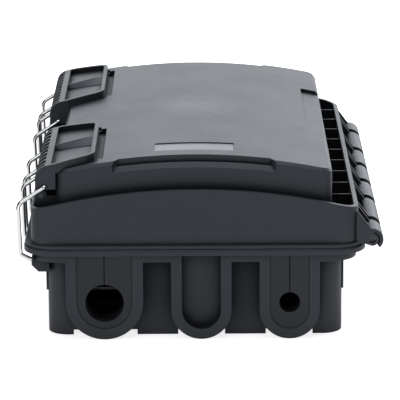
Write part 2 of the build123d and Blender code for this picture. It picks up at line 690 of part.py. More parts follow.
def make_lever(latch_y):
    """Latch lever: cheeks, ribs over the shoulder, bar, two pockets and a wedge between them."""
    bar_right = lever_bar_x + lever_bar_width / 2
    bar_left = lever_bar_x - lever_bar_width / 2
    inner_half = latch_half_length - lever_cheek_thickness
    tip_inner = lever_tip_x - lever_rim
    top = panel_height(bar_left) + lever_rise
    with BuildSketch() as pockets:
        for side in (-1, 1):
            Polygon((bar_right, latch_y + side * wedge_rib_root / 2),
                    (tip_inner, latch_y + side * wedge_rib_tip / 2),
                    (tip_inner, latch_y + side * (lever_tip_half_length - lever_rim)),
                    (-panel_half, latch_y + side * (latch_half_length - lever_rim)),
                    (bar_right, latch_y + side * (latch_half_length - lever_rim)), align=None)
        tip_corners = vertices().group_by(Axis.X)[-1].sort_by(Axis.Y)
        fillet([tip_corners[0], tip_corners[-1]], pocket_corner)
    with BuildSketch() as wedge_top:
        Polygon((bar_right, latch_y - wedge_rib_root / 2), (tip_inner, latch_y - wedge_rib_tip / 2),
                (tip_inner, latch_y + wedge_rib_tip / 2), (bar_right, latch_y + wedge_rib_root / 2),
                align=None)
    # What is cut off the wedge's near flank, which slopes down to the near pocket
    with BuildPart() as flank:
        for end_x, width in ((bar_right, wedge_rib_root), (tip_inner, wedge_rib_tip)):
            end_top = panel_height(end_x) + lever_rise
            with BuildSketch(Plane((end_x, 0, 0), x_dir=(0, 1, 0), z_dir=(1, 0, 0))):
                Polygon((latch_y + width / 2 - wedge_crest_width, end_top - wedge_rib_drop),
                        (latch_y - width / 2, end_top - pocket_depth + wedge_foot_step),
                        (latch_y - width / 2, end_top + lever_rise),
                        (latch_y + width / 2 - wedge_crest_width, end_top + lever_rise), align=None)
        loft()
    with BuildPart() as lever:
        with BuildSketch(Plane.XY.offset(lever_bottom)):
            add(lever_outline(latch_y, 0))
            fillet(vertices().group_by(Axis.X)[-1], lever_tip_corner)
        extrude(amount=sky - lever_bottom)
        with BuildSketch(section(0)):
            add(above_panel(-lever_rise))
        extrude(amount=panel_length, both=True, mode=Mode.SUBTRACT)
        fillet(edges().group_by(Axis.X)[0].sort_by(Axis.Z)[-1], lever_shoulder_radius)
        # Underside, parallel to its seat in the panel
        with BuildSketch(section(0)):
            add(above_panel(lever_seat_depth - running_gap))
            with Locations((-panel_half - sky, 0)):
                Rectangle(2 * (sky - running_gap), 2 * sky)
        extrude(amount=panel_length, both=True, mode=Mode.INTERSECT)
        # Openings between the ribs of the shoulder, under the skin up to the panel's side
        gap_walls = [-inner_half - shoulder_rib_thickness / 2] + rib_offsets
        gap_walls += [inner_half + shoulder_rib_thickness / 2]
        for first, second in zip(gap_walls, gap_walls[1:]):
            gap_length = second - first - shoulder_rib_thickness
            with BuildSketch(Plane.XY.offset(lever_bottom)):
                with Locations((bar_left, latch_y + (first + second) / 2)):
                    Rectangle(2 * (bar_left - lever_shoulder_x), gap_length, align=(Align.MAX, Align.CENTER))
            extrude(amount=sky, mode=Mode.SUBTRACT)
            with BuildSketch(Plane.XY.offset(lever_bottom)):
                with Locations((-panel_half - running_gap, latch_y + (first + second) / 2)):
                    Rectangle(bar_right - lever_shoulder_x, gap_length, align=(Align.MAX, Align.CENTER))
            extrude(amount=top - lever_skin - lever_bottom, mode=Mode.SUBTRACT)
        # Pockets in the top, on both sides of the wedge
        add(under_arch(pockets.sketch, pocket_depth - lever_rise), mode=Mode.SUBTRACT)
        add(under_arch(wedge_top.sketch, wedge_rib_drop - lever_rise), mode=Mode.SUBTRACT)
        add(flank.part, mode=Mode.SUBTRACT)
        # Knuckles around the pivot pin
        for offset in (outer_knuckle, inner_knuckle):
            for side in (-1, 1):
                with BuildSketch(section(latch_y + side * offset)):
                    with Locations((lever_pivot_x, lever_pivot_z)):
                        Circle(lever_knuckle_radius)
                    with Locations((lever_pivot_x, lever_pivot_z)):
                        Rectangle(2 * lever_knuckle_radius, lever_bottom - lever_pivot_z + lever_skin,
                                  align=(Align.CENTER, Align.MIN))
                    with Locations((lever_pivot_x, lever_pivot_z)):
                        Circle(lever_pin_radius + pin_play, mode=Mode.SUBTRACT)
                extrude(amount=shoulder_rib_thickness / 2, both=True)
        # Eyes for the wires, in the cheeks and in two ribs
        for offset in (latch_half_length - lever_cheek_thickness / 2, eye_rib):
            for side in (-1, 1):
                with BuildSketch(section(latch_y + side * offset)):
                    with Locations((bail_eye_x, bail_eye_z)):
                        Circle(wire_radius + pin_play)
                extrude(amount=shoulder_rib_thickness, both=True, mode=Mode.SUBTRACT)
    return lever.part


def make_bail(latch_y, side):
    """Wire bail: two legs from eyes in the lever down to a bar under the base flange."""
    outer_y = latch_y + side * outer_leg
    inner_y = latch_y + side * bail_inner_leg
    outer_end = latch_y + side * (latch_half_length - lever_cheek_thickness)
    inner_end = latch_y + side * (eye_rib + shoulder_rib_thickness / 2)
    leg = [(bail_eye_x, bail_eye_z), (bail_elbow_x, bail_elbow_z), (bail_foot_x, bail_foot_z),
           (bail_bar_x, bail_bar_z)]
    points = [(bail_eye_x, outer_end, bail_eye_z)]
    points += [(x, outer_y, z) for x, z in leg]
    points += [(x, inner_y, z) for x, z in reversed(leg)]
    points += [(bail_eye_x, inner_end, bail_eye_z)]
    bends = [wire_eye_bend, wire_bend, wire_foot_bend, wire_bar_bend]
    with BuildPart() as bail:
        with BuildLine() as route:
            FilletPolyline(*points, radius=bends + bends[::-1])
        with BuildSketch(Plane(origin=points[0], z_dir=(0, side, 0))):
            Circle(wire_radius)
        sweep(path=route.wire())
    return bail.part


levers = {}
bails = {}
lever_pins = {}
for name, latch_y in zip(("front", "rear"), latch_centres):
    levers[name] = make_lever(latch_y)
    levers[name].label = name + "_latch_lever"
    for end_name, side in (("near", -1), ("far", 1)):
        bail = make_bail(latch_y, side)
        bail.label = name + "_latch_" + end_name + "_bail"
        bails[bail.label] = bail
    with BuildPart() as lever_pin:
        with BuildSketch(section(latch_y)):
            with Locations((lever_pivot_x, lever_pivot_z)):
                Circle(lever_pin_radius)
        extrude(amount=lug_offsets[0] + latch_lug_thickness / 2, both=True)
    lever_pin.part.label = name + "_lever_pin"
    lever_pins[lever_pin.part.label] = lever_pin.part

# Mounting plate on its bosses
with BuildPart() as mounting_plate:
    with BuildSketch(Plane.XY.offset(plate_bottom)):
        with Locations((0, plate_y)):
            RectangleRounded(plate_width, plate_length, plate_corner)
            with GridLocations(boss_x, boss_y, 2, 2):
                Circle(screw_hole, mode=Mode.SUBTRACT)
    extrude(amount=plate_thickness)
mounting_plate.part.label = "mounting_plate"


def make_screws(places, seat_z, stack):
    """Pan head screws at the given places, whose heads rest at seat_z on a stack of that thickness."""
    with BuildPart() as screws:
        with BuildSketch(Plane.XY.offset(seat_z)):
            with Locations(*places):
                Circle(screw_radius)
        extrude(amount=-(stack + screw_length))
        with BuildSketch(Plane.XY.offset(seat_z)):
            with Locations(*places):
                Circle(screw_head_radius)
        extrude(amount=screw_head_height, taper=20)
    return screws.part


plate_screw_places = [(sx * boss_x / 2, plate_y + sy * boss_y / 2) for sx in (-1, 1) for sy in (-1, 1)]
plate_screws = make_screws(plate_screw_places, plate_top, plate_thickness)
plate_screws.label = "plate_screws"

# Splice tray: wall, floor and two routing hubs
with BuildPart() as splice_tray:
    with BuildSketch(Plane.XY.offset(plate_top)):
        with Locations((tray_x, tray_y)):
            RectangleRounded(tray_width, tray_length, tray_corner)
    extrude(amount=tray_height)
    with BuildSketch(Plane.XY.offset(plate_top + tray_floor)):
        with Locations((tray_x, tray_y)):
            RectangleRounded(tray_width - 2 * tray_wall, tray_length - 2 * tray_wall, tray_corner - tray_wall)
    extrude(amount=tray_height, mode=Mode.SUBTRACT)
    with BuildSketch(Plane.XY.offset(plate_top + tray_floor)):
        with Locations((tray_x, tray_y - hub_offset), (tray_x, tray_y + hub_offset)):
            Circle(hub_radius)
            Circle(hub_radius - tray_wall, mode=Mode.SUBTRACT)
    extrude(amount=hub_height)
splice_tray.part.label = "splice_tray"

# Splice holder: a comb whose slots hold the sleeves
comb_z = plate_top + tray_floor
slot_offsets = [(k - (comb_slots - 1) / 2) * comb_pitch for k in range(comb_slots)]
tooth_offsets = [(k - comb_slots / 2) * comb_pitch for k in range(comb_slots + 1)]
with BuildPart() as splice_holder:
    with Locations((tray_x, tray_y, comb_z)):
        Box(comb_slots * comb_pitch + comb_tooth, comb_length, comb_base,
            align=(Align.CENTER, Align.CENTER, Align.MIN))
    with Locations(*[(tray_x + offset, tray_y, comb_z + comb_base) for offset in tooth_offsets]):
        Box(comb_tooth, comb_length, comb_tooth_height, align=(Align.CENTER, Align.CENTER, Align.MIN))
splice_holder.part.label = "splice_holder"

with BuildPart() as splice_sleeves:
    with BuildSketch(section(tray_y)):
        with Locations(*[(tray_x + offset, comb_z + comb_base + sleeve_radius + pin_play)
                         for offset in slot_offsets]):
            Circle(sleeve_radius)
    extrude(amount=sleeve_length / 2, both=True)
splice_sleeves.part.label = "splice_sleeves"

# Cover that closes the splice tray
with BuildPart() as tray_cover:
    with BuildSketch(Plane.XY.offset(tray_top)):
        with Locations((tray_x, tray_y)):
            RectangleRounded(tray_width, tray_length, tray_corner)
    extrude(amount=cover_thickness)
tray_cover.part.label = "tray_cover"

# Splitter module beside the tray
with BuildPart() as splitter_module:
    with Locations((tray_x, tray_y + tray_length / 2 + splitter_gap + splitter_width / 2, plate_top)):
        Box(splitter_length, splitter_width, splitter_height, align=(Align.CENTER, Align.CENTER, Align.MIN))
    fillet(edges().filter_by(Axis.Z), splitter_height / 4)
splitter_module.part.label = "splitter_module"

# Adapter bracket with its row of adapters and their caps
adapter_z = plate_top + adapter_lift + adapter_height / 2
adapter_places = [tray_y + (k - (adapter_count - 1) / 2) * adapter_pitch for k in range(adapter_count)]
bracket_length = adapter_count * adapter_pitch + 2 * bracket_margin
with BuildPart() as adapter_bracket:
    with Locations((adapter_x, tray_y, plate_top)):
        Box(bracket_wall, bracket_length, bracket_height, align=(Align.CENTER, Align.CENTER, Align.MIN))
        Box(bracket_foot, bracket_length, bracket_wall, align=(Align.MIN, Align.CENTER, Align.MIN))
    with Locations(*[(adapter_x, y, adapter_z) for y in adapter_places]):
        Box(2 * bracket_wall, adapter_width + 2 * pin_play, adapter_height + 2 * pin_play,
            mode=Mode.SUBTRACT)
adapter_bracket.part.label = "adapter_bracket"

with BuildPart() as fibre_adapters:
    with Locations(*[(adapter_x, y, adapter_z) for y in adapter_places]):
        Box(adapter_length, adapter_width, adapter_height)
    with Locations(*[(adapter_x - bracket_wall / 2 - adapter_collar_length / 2, y, adapter_z)
                     for y in adapter_places]):
        Box(adapter_collar_length, adapter_width + 2 * adapter_collar, adapter_height + 2 * adapter_collar)
    for end in (-1, 1):
        with BuildSketch(Plane.YZ.offset(adapter_x + end * adapter_length / 2)):
            with Locations(*[(y, adapter_z) for y in adapter_places]):
                Circle(socket_radius)
        extrude(amount=-end * socket_depth, mode=Mode.SUBTRACT)
fibre_adapters.part.label = "fibre_adapters"

# Dust caps in both ends of every adapter
with BuildPart() as dust_caps:
    for end in (-1, 1):
        with BuildSketch(Plane.YZ.offset(adapter_x + end * adapter_length / 2)):
            with Locations(*[(y, adapter_z) for y in adapter_places]):
                Circle(cap_radius)
        extrude(amount=end * cap_length)
        with BuildSketch(Plane.YZ.offset(adapter_x + end * adapter_length / 2)):
            with Locations(*[(y, adapter_z) for y in adapter_places]):
                Circle(socket_radius - pin_play)
        extrude(amount=-end * socket_depth / 2)
dust_caps.part.label = "dust_caps"


def make_clamp(port_x, boss_width, grommet_width, hole_radius):
    """Strap that holds a cable down on its seat behind a port."""
    seat_top = hole_height - hole_radius + clamp_bite
    inner = hole_radius + running_gap
    outer = inner + clamp_wall
    with BuildPart() as clamp:
        with BuildSketch(section(clamp_y)):
            with Locations((port_x, hole_height)):
                Circle(outer)
            with Locations((port_x, seat_top)):
                Rectangle(2 * outer, hole_height - seat_top, align=(Align.CENTER, Align.MIN))
                Rectangle(2 * (outer + clamp_foot), clamp_wall, align=(Align.CENTER, Align.MIN))
            with Locations((port_x, hole_height)):
                Circle(inner, mode=Mode.SUBTRACT)
            with Locations((port_x, 0)):
                Rectangle(2 * inner, 2 * hole_height, mode=Mode.SUBTRACT)
                Rectangle(4 * outer, 2 * seat_top, mode=Mode.SUBTRACT)
        extrude(amount=clamp_depth / 2, both=True)
        with BuildSketch(Plane.XY.offset(seat_top)):
            with Locations((port_x, clamp_y)):
                with GridLocations(2 * outer + clamp_foot, 1, 2, 1):
                    Circle(screw_hole)
        extrude(amount=clamp_wall, mode=Mode.SUBTRACT)
    return clamp.part


large_cable_clamp = make_clamp(*large_port)
large_cable_clamp.label = "large_cable_clamp"
small_cable_clamp = make_clamp(*small_port)
small_cable_clamp.label = "small_cable_clamp"
clamp_screw_sets = {}
for size, (port_x, boss_width, grommet_width, hole_radius) in (("large", large_port), ("small", small_port)):
    reach = hole_radius + running_gap + clamp_wall + clamp_foot / 2
    seat_top = hole_height - hole_radius + clamp_bite
    screws = make_screws([(port_x - reach, clamp_y), (port_x + reach, clamp_y)], seat_top + clamp_wall,
                         clamp_wall - clamp_bite)
    screws.label = size + "_clamp_screws"
    clamp_screw_sets[screws.label] = screws

pieces = [base_shell.part, lid.part, sealing_gasket.part, large_port_grommet, small_port_grommet,
          hinge_pin.part, mounting_plate.part, plate_screws, splice_tray.part, splice_holder.part,
          splice_sleeves.part, tray_cover.part, splitter_module.part, adapter_bracket.part,
          fibre_adapters.part, dust_caps.part, large_cable_clamp, small_cable_clamp]
pieces += list(levers.values()) + list(bails.values()) + list(lever_pins.values())
pieces += list(clamp_screw_sets.values())

os.makedirs("parts", exist_ok=True)
for piece in pieces:
    export_step(piece, "parts/" + piece.label + ".step")
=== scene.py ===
"""Dresses the packed fibre distribution box: finishes, fine detail, floor, light and camera.

All lengths are in metres in the part's own frame: X runs from the latches to the hinge, Y from the
cable ports to the far end, and Z up from the back that the box lies on.
"""

import json
import logging
import math
from dataclasses import dataclass
from enum import Enum
from typing import NamedTuple, Optional, Union

import bpy
from mathutils import Matrix, Vector

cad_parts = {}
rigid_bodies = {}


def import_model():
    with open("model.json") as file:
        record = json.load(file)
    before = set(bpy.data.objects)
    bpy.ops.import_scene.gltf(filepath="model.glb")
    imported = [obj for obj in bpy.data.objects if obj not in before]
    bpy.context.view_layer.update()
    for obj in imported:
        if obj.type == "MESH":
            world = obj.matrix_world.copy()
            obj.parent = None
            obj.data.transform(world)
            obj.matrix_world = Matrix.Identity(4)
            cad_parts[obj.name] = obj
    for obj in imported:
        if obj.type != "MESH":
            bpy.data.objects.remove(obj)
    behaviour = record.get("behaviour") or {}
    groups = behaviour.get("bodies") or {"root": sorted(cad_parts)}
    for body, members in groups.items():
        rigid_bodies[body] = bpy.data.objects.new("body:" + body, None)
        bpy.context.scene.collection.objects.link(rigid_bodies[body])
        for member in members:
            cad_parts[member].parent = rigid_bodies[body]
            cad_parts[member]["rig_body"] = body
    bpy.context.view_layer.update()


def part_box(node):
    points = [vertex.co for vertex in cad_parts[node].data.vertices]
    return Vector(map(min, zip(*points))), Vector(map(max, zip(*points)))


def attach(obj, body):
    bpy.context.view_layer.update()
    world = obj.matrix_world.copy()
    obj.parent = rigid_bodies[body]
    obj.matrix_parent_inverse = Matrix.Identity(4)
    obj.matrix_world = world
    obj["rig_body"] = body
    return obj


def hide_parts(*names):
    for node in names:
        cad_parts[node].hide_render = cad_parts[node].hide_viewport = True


log = logging.getLogger("distribution_box")

MM = 0.001
Colour = tuple[float, float, float]
Point = tuple[float, float, float]


class Signal:
    """A node's output that can be used in arithmetic, each step adding a Math node."""

    def __init__(self, recipe: "Recipe", socket: bpy.types.NodeSocket) -> None:
        """Keeps the socket and the recipe whose tree it belongs to."""
        self.recipe = recipe
        self.socket = socket

    def _math(self, operation: str, *values: "Value") -> "Signal":
        """Adds one Math node on the given values."""
        return self.recipe.node("ShaderNodeMath", {"operation": operation}, dict(enumerate(values)))

    def __add__(self, other: "Value") -> "Signal":
        """Sum."""
        return self._math("ADD", self, other)

    def __radd__(self, other: "Value") -> "Signal":
        """Sum with a number on the left."""
        return self._math("ADD", other, self)

    def __sub__(self, other: "Value") -> "Signal":
        """Difference."""
        return self._math("SUBTRACT", self, other)

    def __rsub__(self, other: "Value") -> "Signal":
        """Difference from a number on the left."""
        return self._math("SUBTRACT", other, self)

    def __mul__(self, other: "Value") -> "Signal":
        """Product."""
        return self._math("MULTIPLY", self, other)

    def __rmul__(self, other: "Value") -> "Signal":
        """Product with a number on the left."""
        return self._math("MULTIPLY", other, self)

    def __abs__(self) -> "Signal":
        """Size without its sign."""
        return self._math("ABSOLUTE", self)

    def __pow__(self, other: "Value") -> "Signal":
        """Power."""
        return self._math("POWER", self, other)

    def below(self, edge: float, blur: float) -> "Signal":
        """One where the signal is under edge, falling smoothly to zero over blur."""
        return self.recipe.node("ShaderNodeMapRange", {"interpolation_type": "SMOOTHSTEP"},
                                {"Value": self, "From Min": edge - blur, "From Max": edge + blur,
                                 "To Min": 1.0, "To Max": 0.0})


Value = Union[Signal, float, tuple]


def scaled(colour: Colour, gain: float, lift: float = 0.0) -> Colour:
    """The colour with its values multiplied by gain and raised by lift, none over one."""
    return tuple(min(1.0, c * gain + lift) for c in colour)


class Recipe:
    """One material's node tree around its Principled shader."""

    ray_samples: int = 6
    bend_gain: float = 7.0

    def __init__(self, name: str) -> None:
        """Starts an empty material of that name."""
        self.material = bpy.data.materials.new(name)
        self.material.use_nodes = True
        self.tree = self.material.node_tree
        self.shader = next(n for n in self.tree.nodes if n.type == "BSDF_PRINCIPLED")
        self.place = self.node("ShaderNodeTexCoord", out="Object")

    def node(self, kind: str, settings: Optional[dict] = None, inputs: Optional[dict] = None,
             out: Union[int, str] = 0) -> Signal:
        """Adds one node.

        Args:
            kind: the node's type.
            settings: its properties.
            inputs: values or signals by the socket's name, identifier or number.
            out: the output to return.

        Returns:
            The chosen output as a signal.
        """
        made = self.tree.nodes.new(kind)
        for key, value in (settings or {}).items():
            setattr(made, key, value)
        for key, value in (inputs or {}).items():
            self.feed(self._find(made.inputs, key), value)
        return Signal(self, self._find(made.outputs, out))

    @staticmethod
    def _find(sockets: bpy.types.bpy_prop_collection, key: Union[int, str]) -> bpy.types.NodeSocket:
        """The socket of that number, identifier or name."""
        if isinstance(key, int):
            return sockets[key]
        for socket in sockets:
            if socket.identifier == key:
                return socket
        return sockets[key]

    def feed(self, socket: bpy.types.NodeSocket, value: Value) -> None:
        """Links a signal to a socket, or sets a constant on it."""
        if isinstance(value, Signal):
            self.tree.links.new(value.socket, socket)
        elif isinstance(value, tuple) and socket.type == "RGBA":
            socket.default_value = (*value, 1.0)
        else:
            socket.default_value = value

    def set(self, **values: Value) -> None:
        """Feeds sockets of the Principled shader, with spaces in their names written as underscores."""
        for name, value in values.items():
            self.feed(self.shader.inputs[name.replace("_", " ")], value)

    def noise(self, size: float, detail: float = 2.0, rough: float = 0.5,
              stretch: Point = (1.0, 1.0, 1.0)) -> Signal:
        """Noise whose patches are about size metres wide, longer where stretch is over one."""
        scaled = self.node("ShaderNodeMapping", {"vector_type": "POINT"},
                           {"Vector": self.place, "Scale": tuple(1.0 / (size * s) for s in stretch)})
        return self.node("ShaderNodeTexNoise", {}, {"Vector": scaled, "Scale": 1.0, "Detail": detail,
                                                    "Roughness": rough})

    def axes(self) -> tuple[Signal, Signal, Signal]:
        """X, Y and Z of the point on the surface."""
        split = self.node("ShaderNodeSeparateXYZ", {}, {0: self.place}).socket.node
        return tuple(Signal(self, split.outputs[k]) for k in range(3))

    def mix(self, factor: Value, first: Value, second: Value) -> Signal:
        """Colour between first and second."""
        return self.node("ShaderNodeMix", {"data_type": "RGBA"},
                         {"Factor_Float": factor, "A_Color": first, "B_Color": second}, "Result_Color")

    def edges(self, radius: float) -> tuple[Signal, Signal]:
        """Rounded edges for shading.

        Args:
            radius: radius of the rounding.

        Returns:
            The rounded normal, and a mask that is one where the surface bends.
        """
        rounded = self.node("ShaderNodeBevel", {"samples": self.ray_samples}, {"Radius": radius})
        true = self.node("ShaderNodeNewGeometry", out="Normal")
        both = self.node("ShaderNodeVectorMath", {"operation": "DOT_PRODUCT"}, {0: rounded, 1: true},
                         "Value")
        return rounded, self.clamp((1.0 - both) * self.bend_gain)

    def painted_shade_mask(self, reach: float) -> Signal:
        """Ambient occlusion mask for painted shade: it falls from one in the open to zero deep in a crevice
        that is reach metres wide.
        """
        return self.node("ShaderNodeAmbientOcclusion", {"samples": self.ray_samples, "only_local": True},
                         {"Distance": reach}, "AO")

    def clamp(self, signal: Signal) -> Signal:
        """The signal kept between zero and one."""
        return self.node("ShaderNodeClamp", {}, {"Value": signal})

    def bump(self, height: Signal, depth: float, normal: Optional[Signal] = None) -> Signal:
        """Normal that follows a height signal of that depth in metres, over another if one is given."""
        inputs = {"Height": height, "Distance": depth, "Strength": 1.0}
        if normal is not None:
            inputs["Normal"] = normal
        return self.node("ShaderNodeBump", {}, inputs)


@dataclass(frozen=True)
class MouldedPlastic:
    """Injection moulded plastic: fine grain, soft mottling, a painted highlight along its edges, and painted
    shade with real dullness in its hollows.
    """

    name: str
    colour: Colour
    roughness: float = 0.46
    mottling: float = 0.10
    patch_size: float = 34 * MM
    patch_dulling: float = 0.10
    haze_size: float = 7 * MM
    haze_dulling: float = 0.08
    grain_size: float = 0.45 * MM
    grain_depth: float = 0.02 * MM
    edge_radius: float = 0.55 * MM
    # Painted highlight: the colour is made paler along rounded edges, in hazy patches.
    edge_highlight: float = 0.6
    highlight_gain: float = 2.4
    highlight_lift: float = 0.02
    # Painted shade: ambient occlusion darkens the colour in hollows (crevice_shade), and crevice_dulling
    # makes them rougher.
    painted_shade_reach: float = 45 * MM
    painted_shade_gain: float = 1.3
    painted_shade_power: float = 3.0
    crevice_shade: float = 0.85
    crevice_dulling: float = 0.45
    sheen_tint: Colour = (0.90, 0.94, 1.0)
    flow_size: float = 26 * MM
    flow_stretch: Point = (1.0, 2.2, 1.0)
    flow_depth: float = 0.0
    ior: float = 1.5

    def height(self, recipe: Recipe) -> Signal:
        """Height of the surface grain."""
        return recipe.noise(self.grain_size, detail=1.5)

    def tune(self, recipe: Recipe, colour: Signal, roughness: Signal) -> tuple[Signal, Signal]:
        """Lets a kind of moulding change its colour and roughness from place to place."""
        return colour, roughness

    def build(self) -> bpy.types.Material:
        """Makes the material."""
        recipe = Recipe(self.name)
        rounded, bend = recipe.edges(self.edge_radius)
        patches = recipe.noise(self.patch_size, detail=3.0)
        haze = recipe.noise(self.haze_size, detail=4.0, rough=0.62)
        colour = recipe.mix(patches, scaled(self.colour, 1 - self.mottling),
                            scaled(self.colour, 1 + self.mottling))
        # Painted highlight: a paler colour laid along the rounded edges.
        highlight_colour = scaled(self.colour, self.highlight_gain, self.highlight_lift)
        colour = recipe.mix(bend * haze * self.edge_highlight, colour, highlight_colour)
        # Painted shade: the colour is darkened deep in crevices, where little light gets in; the rise in
        # roughness there is real dullness.
        lit = recipe.clamp(recipe.painted_shade_mask(self.painted_shade_reach) * self.painted_shade_gain)
        unshaded_share = lit ** self.painted_shade_power
        colour = recipe.mix(unshaded_share, scaled(self.colour, 1 - self.crevice_shade), colour)
        roughness = (self.roughness + (patches - 0.5) * self.patch_dulling
                     + (haze - 0.5) * self.haze_dulling + (1.0 - unshaded_share) * self.crevice_dulling)
        colour, roughness = self.tune(recipe, colour, roughness)
        normal = recipe.bump(self.height(recipe), self.grain_depth, rounded)
        if self.flow_depth:
            flow = recipe.noise(self.flow_size, detail=2.0, stretch=self.flow_stretch)
            normal = recipe.bump(flow, self.flow_depth, normal)
        recipe.set(Base_Color=colour, Roughness=roughness, Normal=normal, IOR=self.ior,
                   Specular_Tint=self.sheen_tint)
        return recipe.material


@dataclass(frozen=True)
class LidPlastic(MouldedPlastic):
    """Plastic of the lid, with a smooth label recess whose floor carries a painted reflection, and a faint
    pale patch about its gate mark.
    """

    label_centre: tuple[float, float] = (0.0, -108.0 * MM)
    label_size: tuple[float, float] = (46.4 * MM, 18.5 * MM)
    label_floor: float = 102.0 * MM
    label_blur: float = 0.2 * MM
    floor_blur: float = 0.5 * MM
    label_highlight_gain: float = 2.3
    label_polish: float = 0.16
    gate_reach: float = 18.0 * MM
    gate_speck: float = 5 * MM
    gate_gain: float = 1.8
    gate_share: float = 0.22
    gate_polish: float = 0.10

    def tune(self, recipe: Recipe, colour: Signal, roughness: Signal) -> tuple[Signal, Signal]:
        """Paints a reflection on the floor of the label recess and makes it smoother, and makes the surface
        near the gate paler and smoother.
        """
        x, y, z = recipe.axes()
        across = abs(x - self.label_centre[0]).below(self.label_size[0] / 2, self.label_blur)
        along = abs(y - self.label_centre[1]).below(self.label_size[1] / 2, self.label_blur)
        outside = 1.0 - z.below(self.label_floor, self.floor_blur)
        label = across * along * outside
        distance = recipe.node("ShaderNodeMath", {"operation": "SQRT"}, {0: x * x + y * y})
        gate = distance.below(self.gate_reach, self.gate_reach)
        near = gate * recipe.noise(self.gate_speck, detail=5.0)
        # Painted reflection: the label floor is made paler; its lower roughness is real polish.
        colour = recipe.mix(label, colour, scaled(self.colour, self.label_highlight_gain))
        colour = recipe.mix(near * self.gate_share, colour, scaled(self.colour, self.gate_gain))
        return colour, roughness - label * self.label_polish - near * self.gate_polish


@dataclass(frozen=True)
class SoftRubber(MouldedPlastic):
    """Soft black rubber, duller and with a finer skin than the shells."""

    roughness: float = 0.62
    mottling: float = 0.16
    grain_size: float = 0.3 * MM
    edge_radius: float = 0.4 * MM
    edge_highlight: float = 0.15


@dataclass(frozen=True)
class Metal:
    """Bare metal: drawn, rolled or polished, with fine marks along one direction and faint tarnish."""

    name: str
    colour: Colour
    roughness: float
    along: Point = (1.0, 1.0, 1.0)
    mark_size: float = 0.25 * MM
    mark_depth: float = 0.004 * MM
    mark_dulling: float = 0.10
    film_size: float = 9 * MM
    film_dulling: float = 0.08
    tarnish: float = 0.12

    def build(self) -> bpy.types.Material:
        """Makes the material."""
        recipe = Recipe(self.name)
        marks = recipe.noise(self.mark_size, detail=2.0, stretch=self.along)
        film = recipe.noise(self.film_size, detail=4.0, rough=0.6)
        colour = recipe.mix(film, scaled(self.colour, 1 - self.tarnish), self.colour)
        roughness = self.roughness + (marks - 0.5) * self.mark_dulling + (film - 0.5) * self.film_dulling
        recipe.set(Base_Color=colour, Metallic=1.0, Roughness=roughness,
                   Normal=recipe.bump(marks, self.mark_depth))
        return recipe.material


@dataclass(frozen=True)
class ClearPlastic:
    """See-through moulded plastic with a light tint and fine scuffs."""

    name: str
    colour: Colour
    opacity: float = 0.22
    roughness: float = 0.14
    scuff_size: float = 4 * MM
    scuff_stretch: Point = (1.0, 3.0, 1.0)
    scuff_depth: float = 0.01 * MM
    scuff_gain: float = 1.15
    scuff_dulling: float = 0.18
    scuff_opacity: float = 0.08
    ior: float = 1.58

    def build(self) -> bpy.types.Material:
        """Makes the material."""
        recipe = Recipe(self.name)
        scuffs = recipe.noise(self.scuff_size, detail=6.0, rough=0.7, stretch=self.scuff_stretch)
        recipe.set(Base_Color=recipe.mix(scuffs, self.colour, scaled(self.colour, self.scuff_gain)),
                   Roughness=self.roughness + scuffs * self.scuff_dulling,
                   Alpha=self.opacity + scuffs * self.scuff_opacity,
                   Normal=recipe.bump(scuffs, self.scuff_depth), IOR=self.ior)
        return recipe.material


class Hue(Enum):
    """Base colours of the box's finishes, as linear values."""

    SHELL = (0.026, 0.0285, 0.036)
    LEVER = (0.027, 0.0295, 0.037)
    RUBBER = (0.024, 0.026, 0.032)
    WIRE = (0.88, 0.88, 0.87)
    # Painted shade: the pins are made dark to stand in for the shade of the holes they sit in.
    SHADED_PIN = (0.075, 0.077, 0.082)
    ZINC = (0.62, 0.62, 0.60)
    ALUMINIUM = (0.72, 0.73, 0.74)
    TRAY = (0.115, 0.120, 0.130)
    SMOKE = (0.62, 0.68, 0.72)
    SLEEVE = (0.80, 0.84, 0.86)
    ADAPTER = (0.030, 0.235, 0.105)
    CAP = (0.30, 0.31, 0.32)
    CLAMP = (0.026, 0.027, 0.030)


class Finishes:
    """Every material of the box, made once."""

    def __init__(self) -> None:
        """Builds the materials."""
        self.base = MouldedPlastic("base_plastic", Hue.SHELL.value, flow_depth=0.12 * MM).build()
        self.lid = LidPlastic("lid_plastic", Hue.SHELL.value, flow_depth=0.10 * MM).build()
        self.lever = MouldedPlastic("lever_plastic", Hue.LEVER.value, edge_highlight=0.5).build()
        self.rubber = SoftRubber("port_rubber", Hue.RUBBER.value).build()
        self.wire = Metal("polished_wire", Hue.WIRE.value, 0.12, mark_size=0.6 * MM, tarnish=0.05).build()
        # The pins' dark colour is painted shade.
        self.pin = Metal("drawn_pin", Hue.SHADED_PIN.value, 0.38, along=(1.0, 40.0, 1.0)).build()
        self.zinc = Metal("zinc_plate", Hue.ZINC.value, 0.34).build()
        self.sheet = Metal("rolled_sheet", Hue.ALUMINIUM.value, 0.36, along=(1.0, 60.0, 1.0)).build()
        self.tray = MouldedPlastic("tray_plastic", Hue.TRAY.value, roughness=0.4, mottling=0.03,
                                   edge_highlight=0.1).build()
        self.smoke = ClearPlastic("smoke_cover", Hue.SMOKE.value).build()
        self.sleeve = ClearPlastic("shrink_sleeve", Hue.SLEEVE.value, opacity=0.45).build()
        self.adapter = MouldedPlastic("adapter_plastic", Hue.ADAPTER.value, roughness=0.32, mottling=0.05,
                                      edge_radius=0.3 * MM).build()
        self.cap = MouldedPlastic("cap_plastic", Hue.CAP.value, roughness=0.55, edge_radius=0.3 * MM).build()
        self.clamp = MouldedPlastic("clamp_nylon", Hue.CLAMP.value, roughness=0.42,
                                    edge_radius=0.4 * MM).build()


